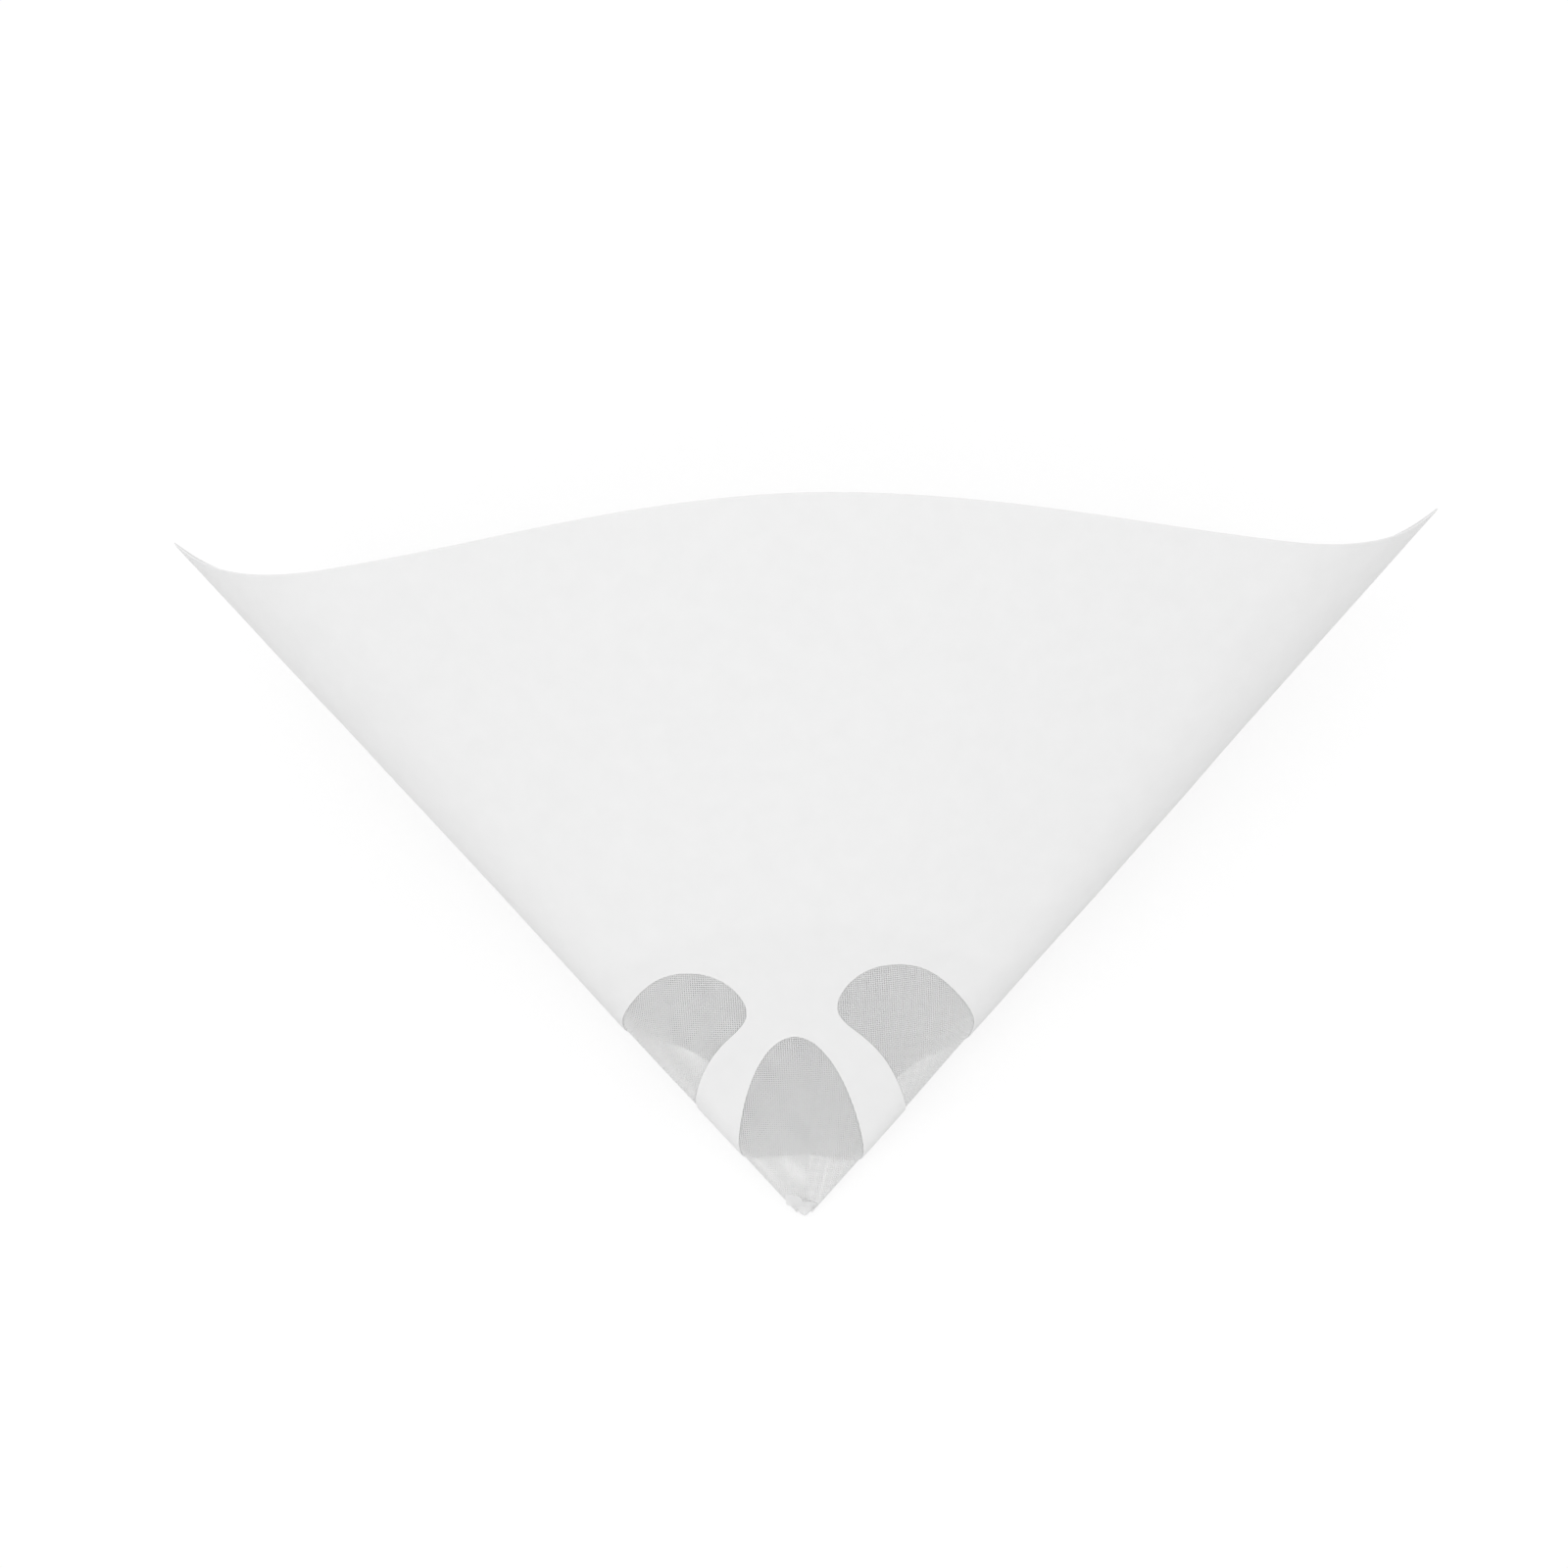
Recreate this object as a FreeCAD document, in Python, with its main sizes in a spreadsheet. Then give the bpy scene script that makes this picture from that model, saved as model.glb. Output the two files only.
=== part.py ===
"""Paper filter funnel: one sheet of paper rolled into a flattened cone, with a nylon net in its tip.

The sheet is folded flat along two creases and glued along one seam.  Here it stands part open and
lies on its back ply, as it would on a bench.

Construction frame, used until the last section: the apex of the cone is the origin, the two creases
lie in the XY plane, X runs across, Y runs from the tip to the mouth and Z points out of the front.
Every shape is cut in the flat blank, in polar form: an angle from the front's middle line and a reach
from the apex.  Rolling keeps both, so the open funnel unrolls to the true blank.
"""
import FreeCAD, Part
import math
import os

from FreeCAD import Placement, Rotation, Vector

doc = FreeCAD.newDocument("paper_filter_funnel")

# ---------------------------------------------------------------- driving dimensions (mm, degrees)

DIMENSIONS = [
    ("flat_half", 4.0, "each ply is flat this far to both sides of its middle, where it can rest"),
    ("crown_cone", 57.9, "half angle of the wide, gentle bend beside the flat"),
    ("crown_sweep", 37.2, "how far that bend turns about its own axis"),
    ("side_cone", 13.4, "half angle of the tight bend beside each crease"),
    ("side_sweep", 57.9, "how far that bend turns about its own axis"),
    ("rim_left", 168.0, "reach of the rim at the left crease"),
    ("rim_left_half", 140.1, "reach of the rim half way to the left crease"),
    ("rim_middle", 137.6, "reach of the rim at the middle of a ply"),
    ("rim_right_half", 143.0, "reach of the rim half way to the right crease"),
    ("rim_right", 172.9, "reach of the rim at the right crease"),
    ("paper_thickness", 0.22, "one layer of the sheet"),
    ("fold_skew", 2.6, "how far the creases were folded round from the die's own middle"),
    ("tip_opening_across", 12.6, "half width of the elliptical hole about the apex"),
    ("tip_opening_along", 36.2, "half length of that hole, towards the front's middle"),
    ("lap_width", 11.0, "width of the glued second layer over the seam"),
    ("lap_setback", 0.6, "how far the second layer stops short of the cut edges"),
    ("glue_film", 0.05, "between the paper and the net"),
    ("net_thickness", 0.12, "woven nylon net"),
    ("net_tip_gap", 1.2, "where the net is gathered and welded, past its own inner apex"),
    ("net_overlap", 5.2, "how far the net runs on above the side windows, glued inside"),
    ("weld_length", 2.0, "the welded point of the net, along Y"),
    ("weld_stand", 1.6, "how far the weld stands out of the end of the net"),
    ("weld_width_share", 0.85, "width of the weld as a share of the net's first reach"),
    ("weld_height_share", 0.7, "height of the weld as a share of the net's first reach"),
]

# The right side window in the flat blank: millimetres across and along from the apex, with the
# die's middle line upright.  The left window is its mirror image.
WINDOW_POINTS = [
    (8.1, 41.0), (10.1, 45.5), (15.7, 48.6), (23.5, 47.5), (29.5, 42.0), (34.2, 33.4),
    (35.0, 23.8), (31.1, 14.6), (25.6, 11.5), (21.5, 16.5), (17.4, 27.8), (12.2, 35.5),
]

sheet = doc.addObject("Spreadsheet::Sheet", "Sizes")
rows_written = 0


def write_row(alias, value, note):
    global rows_written
    rows_written += 1
    sheet.set("A%d" % rows_written, alias)
    sheet.set("B%d" % rows_written, repr(value))
    sheet.set("C%d" % rows_written, note)
    sheet.setAlias("B%d" % rows_written, alias)


for alias, value, note in DIMENSIONS:
    write_row(alias, value, note)
for number, (across, along) in enumerate(WINDOW_POINTS, start=1):
    write_row("window_across_%02d" % number, across, "side window, point %d" % number)
    write_row("window_along_%02d" % number, along, "side window, point %d" % number)
doc.recompute()


def size(alias):
    return float(sheet.get(alias))


# ---------------------------------------------------------------- the rolled form

APEX = Vector(0, 0, 0)
ACROSS = Vector(1, 0, 0)
ON_CREASE = 1e-6  # an angle this near a crease lies on it

PAPER_OUTSIDE = 0.0
PAPER_INSIDE = -size("paper_thickness")
NET_OUTSIDE = PAPER_INSIDE - size("glue_film")
NET_INSIDE = NET_OUTSIDE - size("net_thickness")

# nearer the apex than this, the net's inside would meet itself in the bends beside the creases
net_apex_reach = -NET_INSIDE / math.tan(math.radians(size("side_cone")))
write_row("net_tip_reach", net_apex_reach + size("net_tip_gap"), "worked out: the net's first reach")
doc.recompute()


def turned(vector, axis, degrees):
    return Rotation(axis, degrees).multVec(vector)


def ply_form():
    """The right half of the front ply: a flat, then two cones about the apex, each tangent to the last.

    Gives the middle line, the normal of the flat and its edge, the two cone axes and the joint line
    between them, and the crease, all as unit vectors, turned so that the crease lies in the XY plane.
    """
    crown = math.radians(size("crown_cone"))
    side = math.radians(size("side_cone"))
    middle = Vector(0, 1, 0)
    normal = Vector(0, 0, 1)
    flat_edge = turned(middle, normal, -size("flat_half"))
    crown_axis = flat_edge * math.cos(crown) - normal * math.sin(crown)
    joint = turned(flat_edge, crown_axis, size("crown_sweep"))
    side_axis = (joint * math.sin(crown - side) + crown_axis * math.sin(side)) / math.sin(crown)
    crease = turned(joint, side_axis, size("side_sweep"))
    lift = -math.degrees(math.atan2(crease.z, crease.y))
    form = (middle, normal, flat_edge, crown_axis, joint, side_axis, crease)
    return [turned(line, ACROSS, lift) for line in form]


MIDDLE, FLAT_NORMAL, FLAT_EDGE, CROWN_AXIS, JOINT, SIDE_AXIS, CREASE = ply_form()
# angles in the flat sheet: a turn about a cone's axis unrolls to the turn times the cone's sine
CROWN_ANGLE = size("flat_half") + size("crown_sweep") * math.sin(math.radians(size("crown_cone")))
PLY_HALF = CROWN_ANGLE + size("side_sweep") * math.sin(math.radians(size("side_cone")))
BACK_MIDDLE = 2 * PLY_HALF
BULGE = math.degrees(math.asin(MIDDLE.z))


def outward(line, axis, cone_angle):
    """The unit normal of a cone about axis, on its generator line."""
    cone = math.radians(cone_angle)
    return (line * math.cos(cone) - axis) / math.sin(cone)


def ply_line(angle):
    """Generator and outward normal of the right half of the front ply, angle from its middle."""
    if angle <= size("flat_half"):
        return turned(MIDDLE, FLAT_NORMAL, -angle), FLAT_NORMAL
    if angle <= CROWN_ANGLE:
        turn = (angle - size("flat_half")) / math.sin(math.radians(size("crown_cone")))
        line = turned(FLAT_EDGE, CROWN_AXIS, turn)
        return line, outward(line, CROWN_AXIS, size("crown_cone"))
    turn = (angle - CROWN_ANGLE) / math.sin(math.radians(size("side_cone")))
    line = turned(JOINT, SIDE_AXIS, turn)
    normal = outward(line, SIDE_AXIS, size("side_cone"))
    if PLY_HALF - angle < ON_CREASE:
        # the two plies are mitred in the plane of the creases
        level = Vector(CREASE.y, -CREASE.x, 0)
        normal = level / level.dot(normal)
    return line, normal


def fold_angle(blank_angle):
    """Angle from the front's middle line, between the two back middles, for an angle in the blank."""
    angle = blank_angle - size("fold_skew")
    while angle > BACK_MIDDLE:
        angle -= 2 * BACK_MIDDLE
    while angle < -BACK_MIDDLE:
        angle += 2 * BACK_MIDDLE
    return angle


def rolled(blank_angle, reach, height):
    """The point of the open funnel at an angle and reach of the blank, height above its outside."""
    angle = fold_angle(blank_angle)
    on_back = abs(angle) > PLY_HALF
    line, normal = ply_line(BACK_MIDDLE - abs(angle) if on_back else abs(angle))
    point = line * reach + normal * height
    return Vector(math.copysign(point.x, angle), point.y, -point.z if on_back else point.z)


# ---------------------------------------------------------------- cut edges in the blank

RIM_ALIASES = ["rim_left", "rim_left_half", "rim_middle", "rim_right_half", "rim_right"]


def rim_reach(blank_angle):
    """The rim is sheared through both plies at once: a smooth curve through its five reaches."""
    angle = fold_angle(blank_angle)
    if abs(angle) > PLY_HALF:
        angle = math.copysign(BACK_MIDDLE - abs(angle), angle)
    place = angle / PLY_HALF
    reach = 0.0
    for number, alias in enumerate(RIM_ALIASES):
        own = number / 2 - 1
        weight = 1.0
        for other in (-1, -0.5, 0, 0.5, 1):
            if other != own:
                weight *= (place - other) / (own - other)
        reach += weight * size(alias)
    return reach


def tip_opening_reach(blank_angle):
    """The elliptical hole that the die cuts about the apex."""
    angle = math.radians(blank_angle)
    return 1 / math.hypot(math.sin(angle) / size("tip_opening_across"),
                          math.cos(angle) / size("tip_opening_along"))


def net_tip_reach(blank_angle):
    return size("net_tip_reach")


def window_outline():
    """The right window as a closed curve in the flat blank, the die's middle line along Y."""
    points = []
    for number in range(1, len(WINDOW_POINTS) + 1):
        across = size("window_across_%02d" % number)
        points.append(Vector(across, size("window_along_%02d" % number), 0))
    curve = Part.BSplineCurve()
    curve.interpolate(Points=points, PeriodicFlag=True)
    return curve.toShape()


OUTLINE_SAMPLES = 2000  # points of the outline searched for its ends and its top
WINDOW_OUTLINE = window_outline()
WINDOW_SAMPLES = WINDOW_OUTLINE.discretize(OUTLINE_SAMPLES)
WINDOW_TOP = max(point.Length for point in WINDOW_SAMPLES)


def net_rim_reach(blank_angle):
    return WINDOW_TOP + size("net_overlap")


# ---------------------------------------------------------------- solids from the blank

STEP_ANGLE = 2.0  # degrees of the blank between two points of a cut edge
JOIN_TOLERANCE = 0.0001  # the ends of two panels meet within this
SEAM_ANGLE = BACK_MIDDLE
RIGHT_CREASE = size("fold_skew") + PLY_HALF
LEFT_CREASE = size("fold_skew") - PLY_HALF
BACK_FLAT_EDGES = [size("fold_skew") + side * BACK_MIDDLE + edge * size("flat_half")
                   for side in (-1, 1) for edge in (-1, 1)]
# the whole way round from seam to seam, in one panel for each stretch between creases
PANELS = [(-SEAM_ANGLE, LEFT_CREASE), (LEFT_CREASE, RIGHT_CREASE), (RIGHT_CREASE, SEAM_ANGLE)]


def spread(first, last):
    """Angles from first to last, evenly spaced between the edges of the back's flat."""
    angles = [first]
    for stop in sorted({last} | {edge for edge in BACK_FLAT_EDGES if first < edge < last}):
        start = angles[-1]
        count = max(4, math.ceil((stop - start) / STEP_ANGLE))
        angles += [start + (stop - start) * number / count for number in range(1, count + 1)]
    return angles


def cut_edge(angles, reaches, height):
    """A curve across the generators; its parameter is the angle, so that two of them rule a cone."""
    curve = Part.BSplineCurve()
    points = [rolled(angle, reach, height) for angle, reach in zip(angles, reaches)]
    curve.interpolate(Points=points, Parameters=[float(angle) for angle in angles])
    return curve.toShape()


def closed_solid(faces):
    """The solid that faces enclose when their edges are sewn together."""
    shell = Part.Shell(faces)
    shell.sewShape()
    solid = Part.Solid(shell)
    if solid.Volume < 0:
        solid.reverse()
    return solid


def rolled_solid(angles, near, far, bottom, top):
    """The solid sheet between two cut edges and two heights.  near and far are reaches at angles."""
    near_low = cut_edge(angles, near, bottom)
    near_high = cut_edge(angles, near, top)
    far_low = cut_edge(angles, far, bottom)
    far_high = cut_edge(angles, far, top)
    faces = [
        Part.makeRuledSurface(near_low, far_low),
        Part.makeRuledSurface(near_high, far_high),
        Part.makeRuledSurface(near_low, near_high),
        Part.makeRuledSurface(far_low, far_high),
    ]
    for place, end in ((0, angles[0]), (-1, angles[-1])):
        corners = [rolled(end, near[place], bottom), rolled(end, far[place], bottom),
                   rolled(end, far[place], top), rolled(end, near[place], top)]
        faces.append(Part.Face(Part.makePolygon(corners + corners[:1])))
    return closed_solid(faces)


def rolled_cone(near_reach, far_reach, bottom, top):
    """The sheet the whole way round.  near_reach and far_reach give a cut edge's reach at an angle."""
    panels = []
    for first, last in PANELS:
        angles = spread(first, last)
        near = [near_reach(angle) for angle in angles]
        far = [far_reach(angle) for angle in angles]
        panels.append(rolled_solid(angles, near, far, bottom, top))
    return panels[0].multiFuse(panels[1:], JOIN_TOLERANCE).removeSplitter()


def feature(name, shape):
    made = doc.addObject("Part::Feature", name)
    made.Shape = shape
    return made


# ---------------------------------------------------------------- the paper

CUT_CLEARANCE = 1.0  # how far a cutter reaches past each side of the sheet
LAP_SPARE_ANGLE = 6.0  # the lap's sheet is this much wider each side than the strip that trims it

paper_wall = feature("paper_wall",
                     rolled_cone(tip_opening_reach, rim_reach, PAPER_INSIDE, PAPER_OUTSIDE))


def lap_layer():
    """A second layer over the seam and well to both sides of it, sunk half way into the first."""
    half = math.degrees(math.asin(size("lap_width") / size("tip_opening_across") / 2))
    half += LAP_SPARE_ANGLE
    angles = spread(SEAM_ANGLE - half, SEAM_ANGLE + half)
    near = [tip_opening_reach(angle) + size("lap_setback") for angle in angles]
    far = [rim_reach(angle) - size("lap_setback") for angle in angles]
    return rolled_solid(angles, near, far, PAPER_INSIDE / 2, size("paper_thickness"))


seam_line = rolled(SEAM_ANGLE, 1, 0)
seam_normal = rolled(SEAM_ANGLE, 0, 1)
seam_across = seam_line.cross(seam_normal)

lap_sheet = feature("lap_sheet", lap_layer())
# a square bar along the seam, longer than the sheet, that leaves the lap its width
lap_strip = doc.addObject("Part::Box", "lap_strip")
lap_strip.setExpression("Length", "Sizes.lap_width")
lap_strip.setExpression("Width", "Sizes.rim_left + Sizes.rim_right")
lap_strip.setExpression("Height", "Sizes.lap_width")
lap_strip.Placement = Placement(
    (seam_across + seam_normal) * (-size("lap_width") / 2),
    Rotation(seam_across, seam_line, seam_normal, "XYZ"))
lap = doc.addObject("Part::Common", "lap")
lap.Base = lap_sheet
lap.Tool = lap_strip

seamed_sheet = doc.addObject("Part::Fuse", "seamed_sheet")
seamed_sheet.Base = paper_wall
seamed_sheet.Tool = lap
seamed_sheet.Refine = True


WINDOW_END_INSET = 0.12  # degrees cut off each rounded end, where near and far edge would meet
WINDOW_STEPS = 28


def window_edges(crease):
    """Angles across the right window, one of them the crease, and the reach of both edges at each."""
    face = Part.Face(Part.Wire(WINDOW_OUTLINE))
    bearings = [math.degrees(math.atan2(point.x, point.y)) for point in WINDOW_SAMPLES]
    first = min(bearings) + WINDOW_END_INSET
    last = max(bearings) - WINDOW_END_INSET
    middle, half = (first + last) / 2, (last - first) / 2
    angles, near, far = [], [], []
    for step in range(WINDOW_STEPS + 1):
        # closer together towards the rounded ends
        angles.append(middle - half * math.cos(math.pi * step / WINDOW_STEPS))
    if first < crease < last:
        nearest = min(range(1, WINDOW_STEPS), key=lambda place: abs(angles[place] - crease))
        angles[nearest] = crease
    for angle in angles:
        bearing = math.radians(angle)
        ray = Part.makeLine(APEX, Vector(math.sin(bearing), math.cos(bearing), 0) * size("rim_right"))
        reaches = sorted(vertex.Point.Length for vertex in ray.common(face).Vertexes)
        near.append(reaches[0])
        far.append(reaches[-1])
    return angles, near, far


def window_cutters(name, crease, side):
    """Solids through the sheet where a window is, one each side of the crease that it crosses.

    side is 1 for the right window and -1 for the left.
    """
    angles, near, far = window_edges(side * crease)
    spans = [slice(0, None)]
    if side * crease in angles:
        fold = angles.index(side * crease)
        spans = [slice(0, fold + 1), slice(fold, None)]
    cutters = []
    for number, span in enumerate(spans, start=1):
        # from left to right, as every cut edge runs
        turned_angles = [side * angle for angle in angles[span]][::side]
        panel = rolled_solid(turned_angles, near[span][::side], far[span][::side],
                             PAPER_INSIDE - CUT_CLEARANCE, PAPER_OUTSIDE + CUT_CLEARANCE)
        cutters.append(feature("%s_%d" % (name, number), panel))
    return cutters


windows = doc.addObject("Part::Compound", "windows")
windows.Links = (window_cutters("right_window", RIGHT_CREASE, 1)
                 + window_cutters("left_window", LEFT_CREASE, -1))

paper_cone = doc.addObject("Part::Cut", "paper_cone")
paper_cone.Base = seamed_sheet
paper_cone.Tool = windows
paper_cone.Label = "paper_cone"

# ---------------------------------------------------------------- the nylon net

net_wall = feature("net_wall", rolled_cone(net_tip_reach, net_rim_reach, NET_INSIDE, NET_OUTSIDE))

# The melted point of the net: a small block across the inside, where its two plies are gathered.
# The cone narrows in proportion to its reach, and so does the block.
tip_weld = doc.addObject("Part::Box", "tip_weld")
tip_weld.setExpression("Length", "Sizes.weld_width_share * Sizes.net_tip_reach")
tip_weld.setExpression("Width", "Sizes.weld_length")
tip_weld.setExpression("Height", "Sizes.weld_height_share * Sizes.net_tip_reach")
tip_weld.setExpression("Placement.Base.x", "-Sizes.weld_width_share * Sizes.net_tip_reach / 2")
tip_weld.setExpression("Placement.Base.y", "Sizes.net_tip_reach - Sizes.weld_stand")
tip_weld.setExpression("Placement.Base.z", "-Sizes.weld_height_share * Sizes.net_tip_reach / 2")

filter_mesh = doc.addObject("Part::Fuse", "filter_mesh")
filter_mesh.Base = net_wall
filter_mesh.Tool = tip_weld
filter_mesh.Label = "filter_mesh"

NODES = [paper_cone, filter_mesh]
doc.recompute()

# ---------------------------------------------------------------- at rest on the back ply

# it rests on the weld's lower edge and on the lap's end at the rim, with the back almost level;
# the middle of the footprint is the origin
weld_foot = Vector(0, tip_weld.Placement.Base.y, tip_weld.Placement.Base.z)
lap_foot = rolled(SEAM_ANGLE, rim_reach(SEAM_ANGLE) - size("lap_setback"), size("paper_thickness"))
feet = lap_foot - weld_foot
lay_down = Rotation(ACROSS, math.degrees(math.atan2(-feet.z, feet.y)))
for node in NODES:
    node.Placement = Placement(Vector(), lay_down)
doc.recompute()
box = FreeCAD.BoundBox()
for node in NODES:
    box.add(node.Shape.optimalBoundingBox(True))
for node in NODES:
    node.Placement = Placement(Vector(-box.Center.x, -box.Center.y, -box.ZMin), lay_down)
doc.recompute()

# ---------------------------------------------------------------- checks and export

for item in doc.Objects:
    for fault in ("Invalid", "Error"):
        if fault in item.State:
            raise RuntimeError("%s is %s" % (item.Name, fault))
for node in NODES:
    if node.Shape.isNull() or not node.Shape.isValid():
        raise RuntimeError("%s has no valid shape" % node.Label)
    if len(node.Shape.Solids) != 1:
        raise RuntimeError("%s is %d solids" % (node.Label, len(node.Shape.Solids)))

os.makedirs("parts", exist_ok=True)
for node in NODES:
    node.Shape.exportStep("parts/%s.step" % node.Label)
    extent = node.Shape.optimalBoundingBox(True)
    print("%-12s %.1f x %.1f x %.1f mm" % (node.Label, extent.XLength, extent.YLength, extent.ZLength))
print("flat angle of a ply %.1f, bulge of a ply %.1f" % (2 * PLY_HALF, BULGE))
print("top of the side windows %.2f, of the net %.2f" % (WINDOW_TOP, net_rim_reach(0)))
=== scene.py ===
"""The look of the paper filter funnel: the sheet, the woven net in its tip, light, floor and camera.

The sheet and the net are both drawn flat, as they are cut, and rolled on to the funnel's form.  The
flat drawing is measured from the apex: an angle from the die's middle line and a reach, or across
and along with that line upright.  Sizes are in millimetres and degrees where no comment says
otherwise, and placed() puts points where they belong in the scene's metres.
"""

import math

import bpy
import numpy as np
from mathutils import Matrix, Vector, geometry, noise


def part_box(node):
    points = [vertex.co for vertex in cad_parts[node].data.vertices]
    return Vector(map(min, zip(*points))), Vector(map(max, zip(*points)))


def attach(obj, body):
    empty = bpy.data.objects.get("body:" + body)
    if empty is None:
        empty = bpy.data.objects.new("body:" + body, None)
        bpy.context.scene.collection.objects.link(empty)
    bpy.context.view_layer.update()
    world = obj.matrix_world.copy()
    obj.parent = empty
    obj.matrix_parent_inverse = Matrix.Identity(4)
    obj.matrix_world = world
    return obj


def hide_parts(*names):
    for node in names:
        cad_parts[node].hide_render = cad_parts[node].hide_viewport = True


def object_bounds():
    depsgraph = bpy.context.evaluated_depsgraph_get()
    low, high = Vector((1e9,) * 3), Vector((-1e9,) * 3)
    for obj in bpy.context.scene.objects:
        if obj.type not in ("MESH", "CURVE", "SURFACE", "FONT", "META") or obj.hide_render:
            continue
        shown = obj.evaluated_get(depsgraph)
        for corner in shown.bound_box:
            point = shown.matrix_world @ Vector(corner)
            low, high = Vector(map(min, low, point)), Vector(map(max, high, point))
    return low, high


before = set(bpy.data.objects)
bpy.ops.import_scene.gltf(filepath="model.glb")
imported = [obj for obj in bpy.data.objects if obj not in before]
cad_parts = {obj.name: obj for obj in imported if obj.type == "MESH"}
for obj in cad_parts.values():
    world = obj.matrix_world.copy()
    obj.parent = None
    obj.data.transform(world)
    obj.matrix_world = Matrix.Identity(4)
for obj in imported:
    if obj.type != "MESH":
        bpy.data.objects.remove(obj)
cad_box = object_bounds()

MM = 0.001

# ---------------------------------------------------------------- the form, as the CAD has it

FLAT_HALF = 4.0  # each ply is flat this far to both sides of its middle
CROWN_CONE, CROWN_SWEEP = 57.9, 37.2  # the gentle bend beside the flat
SIDE_CONE, SIDE_SWEEP = 13.4, 57.9  # the tighter bend beside each crease
RIM_STATIONS = (-1, -0.5, 0, 0.5, 1)  # from the left crease to the right one
RIM_REACHES = (168.0, 140.1, 137.6, 143.0, 172.9)  # of the rim at those stations
PAPER = 0.22  # thickness of the sheet
FOLD_SKEW = 2.6  # how far the creases are folded round from the die's own middle
OPENING_ACROSS, OPENING_ALONG = 12.6, 36.2  # half axes of the elliptical hole about the apex
LAP = 11.0  # width of the lap
LAP_GAP = 0.004  # between the two layers of the lap
LAP_SETBACK = 0.6  # how far the CAD's second layer stops short of the rim
NET_TOP = 58.2  # reach of the net's rim, glued inside above the windows
WINDOW_POINTS = (  # the right window, across and along; the left one is its mirror image
    (8.1, 41.0), (10.1, 45.5), (15.7, 48.6), (23.5, 47.5), (29.5, 42.0), (34.2, 33.4),
    (35.0, 23.8), (31.1, 14.6), (25.6, 11.5), (21.5, 16.5), (17.4, 27.8), (12.2, 35.5),
)


def turned(vectors, axis, degrees):
    """Vectors turned about an axis; either may be one or many."""
    angle = np.radians(degrees)[..., None]
    axis = np.asarray(axis)
    vectors = np.asarray(vectors)
    return (vectors * np.cos(angle) + np.cross(axis, vectors) * np.sin(angle)
            + axis * (vectors @ axis)[..., None] * (1 - np.cos(angle)))


def ply_form():
    """The right half of the front ply: a flat, then two cones about the apex, with the crease level."""
    crown, side = math.radians(CROWN_CONE), math.radians(SIDE_CONE)
    middle, normal = np.array([0.0, 1.0, 0.0]), np.array([0.0, 0.0, 1.0])
    flat_edge = turned(middle, normal, np.array(-FLAT_HALF))
    crown_axis = flat_edge * math.cos(crown) - normal * math.sin(crown)
    joint = turned(flat_edge, crown_axis, np.array(CROWN_SWEEP))
    side_axis = (joint * math.sin(crown - side) + crown_axis * math.sin(side)) / math.sin(crown)
    crease = turned(joint, side_axis, np.array(SIDE_SWEEP))
    lift = np.array(-math.degrees(math.atan2(crease[2], crease[1])))
    form = (middle, normal, flat_edge, crown_axis, joint, side_axis)
    return [turned(line, np.array([1.0, 0.0, 0.0]), lift) for line in form]


MIDDLE, FLAT_NORMAL, FLAT_EDGE, CROWN_AXIS, JOINT, SIDE_AXIS = ply_form()
CROWN_ANGLE = FLAT_HALF + CROWN_SWEEP * math.sin(math.radians(CROWN_CONE))
PLY_HALF = CROWN_ANGLE + SIDE_SWEEP * math.sin(math.radians(SIDE_CONE))
SEAM = 2 * PLY_HALF  # half way round: from the front's middle to the back's, or the die's to the seam


def fold_angle(blank):
    """Angle from the front's middle line for an angle in the flat drawing."""
    return (blank - FOLD_SKEW + SEAM) % (2 * SEAM) - SEAM


def ply_lines(angle):
    """Generators and outward normals of the right half of the front ply."""
    crown, side = math.radians(CROWN_CONE), math.radians(SIDE_CONE)
    flat_line = turned(MIDDLE, FLAT_NORMAL, -np.minimum(angle, FLAT_HALF))
    crown_line = turned(FLAT_EDGE, CROWN_AXIS, np.maximum(angle - FLAT_HALF, 0) / math.sin(crown))
    side_line = turned(JOINT, SIDE_AXIS, np.maximum(angle - CROWN_ANGLE, 0) / math.sin(side))
    crown_normal = (crown_line * math.cos(crown) - CROWN_AXIS) / math.sin(crown)
    side_normal = (side_line * math.cos(side) - SIDE_AXIS) / math.sin(side)
    on_flat, on_crown = (angle <= FLAT_HALF)[..., None], (angle <= CROWN_ANGLE)[..., None]
    line = np.where(on_flat, flat_line, np.where(on_crown, crown_line, side_line))
    normal = np.where(on_flat, FLAT_NORMAL, np.where(on_crown, crown_normal, side_normal))
    return line, normal


def rolled(blank, reach, height):
    """Points of the open funnel in its own frame, and their outward normals, in millimetres."""
    angle = fold_angle(blank)
    on_back = np.abs(angle) > PLY_HALF
    line, normal = ply_lines(np.where(on_back, SEAM - np.abs(angle), np.abs(angle)))
    mirror = np.stack([np.where(angle < 0, -1.0, 1.0), np.ones_like(angle),
                       np.where(on_back, -1.0, 1.0)], axis=-1)
    return (line * reach[..., None] + normal * height[..., None]) * mirror, normal * mirror


def rim_reach(blank):
    """The rim, one smooth curve through its stations, cut through both plies at once."""
    angle = fold_angle(blank)
    folded = np.where(np.abs(angle) > PLY_HALF, np.sign(angle) * SEAM - angle, angle)
    place = folded / PLY_HALF
    reach = np.zeros_like(place)
    for own, value in zip(RIM_STATIONS, RIM_REACHES):
        weight = np.ones_like(place)
        for other in RIM_STATIONS:
            if other != own:
                weight = weight * (place - other) / (own - other)
        reach += weight * value
    return reach


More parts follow.
